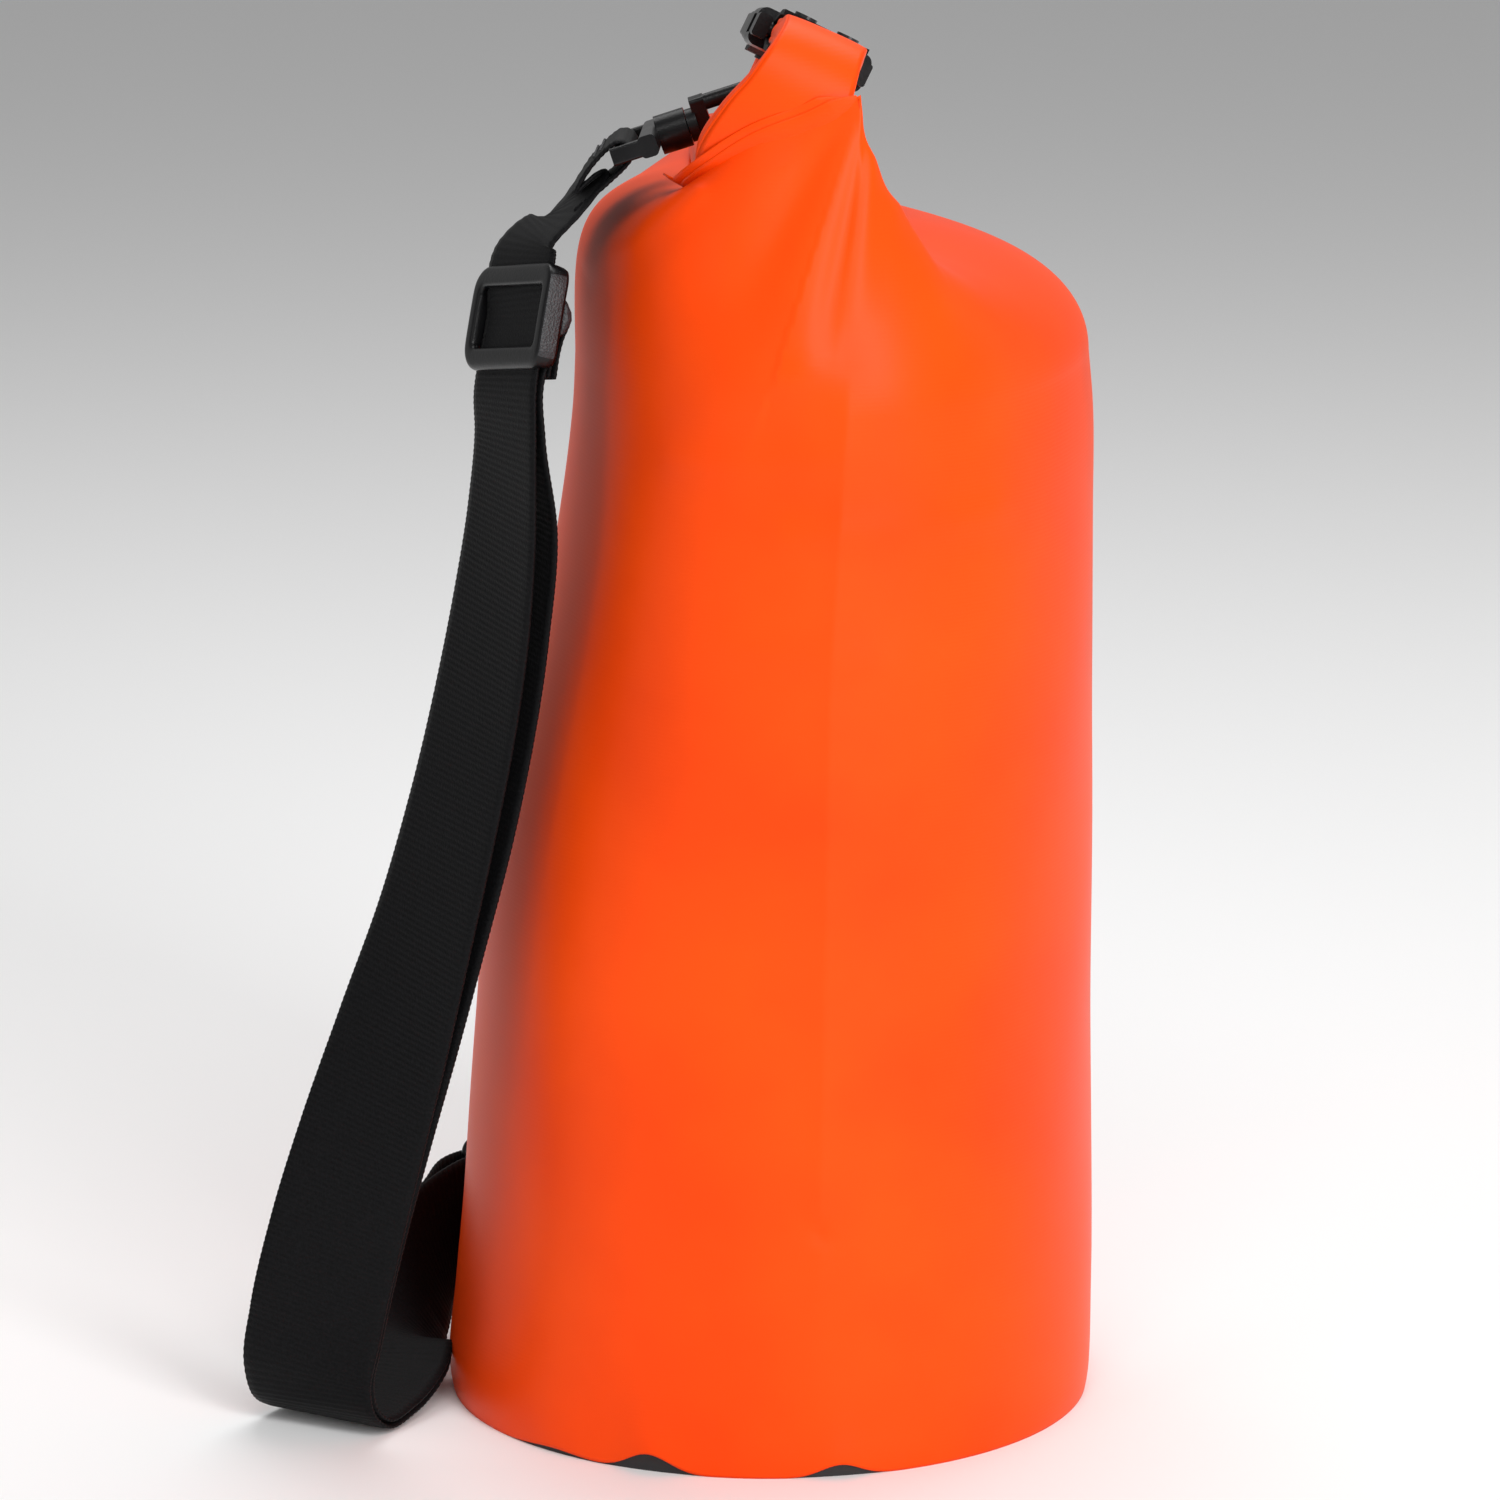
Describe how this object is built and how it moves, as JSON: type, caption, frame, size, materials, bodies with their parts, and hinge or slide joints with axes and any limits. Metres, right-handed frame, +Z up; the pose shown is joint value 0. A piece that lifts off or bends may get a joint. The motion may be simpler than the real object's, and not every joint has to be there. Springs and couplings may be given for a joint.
{
  "type": "dry bag",
  "caption": "Roll-top dry bag: an upright coated-fabric tube on a round base, mouth rolled and clipped into a carrying hoop, with a hooked shoulder strap and slider",
  "frame": {"origin": "centre of the base, on the ground", "axes": "+Z up along the bag, -Y towards the front, shoulder strap on the -X side; the mouth is rolled along Y"},
  "size_m": [0.2394, 0.2122, 0.402],
  "materials": {
    "tarpaulin_orange": "satin PVC-coated polyester, smooth",
    "tarpaulin_black": "satin PVC-coated polyester, black",
    "webbing_black": "ribbed black polypropylene webbing",
    "thread_black": "black polyester thread",
    "acetal_black": "black moulded acetal, semi-gloss",
    "stiffener_plastic": "extruded polyethylene strip",
    "rivet_black": "black lacquered steel",
    "steel_pin": "plain steel"
  },
  "bodies": {
    "bag": {"bag_tube": "tarpaulin_orange", "mouth_roll": "tarpaulin_orange", "lower_patch": "tarpaulin_orange", "base_disc": "tarpaulin_black", "stiffener_strip_inner": "stiffener_plastic", "stiffener_strip_outer": "stiffener_plastic", "buckle_tab_near": "webbing_black", "buckle_tab_far": "webbing_black", "upper_ring_tab": "webbing_black", "strap_webbing": "webbing_black", "lower_ring_tab": "webbing_black", "strap_stitches": "thread_black", "tab_rivets": "rivet_black", "buckle_female": "acetal_black", "buckle_male": "acetal_black", "upper_ring": "acetal_black", "lower_ring": "acetal_black", "hook_base": "acetal_black"},
    "prong_right": {"buckle_prong_right": "acetal_black"},
    "prong_left": {"buckle_prong_left": "acetal_black"},
    "snap_hook": {"hook_body": "acetal_black", "hook_gate_pin": "steel_pin"},
    "gate": {"hook_gate": "acetal_black"},
    "slider": {"slider_frame": "acetal_black", "strap_end_loop": "webbing_black"}
  },
  "joints": [
    {"name": "prong_right_flex", "type": "hinge", "parent": "bag", "child": "prong_right", "pos_m": [0.02002, -0.004, 0.37872], "axis": [-0.4339, -0.1426, -0.8896], "range_deg": [0, 10], "stiffness_Nm_per_rad": 0.05},
    {"name": "prong_left_flex", "type": "hinge", "parent": "bag", "child": "prong_left", "pos_m": [-0.00101, -0.004, 0.38897], "axis": [0.4339, 0.1426, 0.8896], "range_deg": [0, 10], "stiffness_Nm_per_rad": 0.05},
    {"name": "hook_swivel", "type": "hinge", "parent": "bag", "child": "snap_hook", "pos_m": [-0.022, -0.038, 0.3675], "axis": [0.9511, 0, 0.309], "range_deg": [-20, 20]},
    {"name": "gate_swing", "type": "hinge", "parent": "snap_hook", "child": "gate", "pos_m": [-0.01225, -0.03692, 0.36532], "axis": [0.0642, -0.9781, -0.1977], "range_deg": [0, 15], "stiffness_Nm_per_rad": 0.02},
    {"name": "slider_travel", "type": "slide", "parent": "bag", "child": "slider", "axis": [-0.1603, -0.2606, -0.952], "range_m": [-0.003, 0.003]}
  ]
}
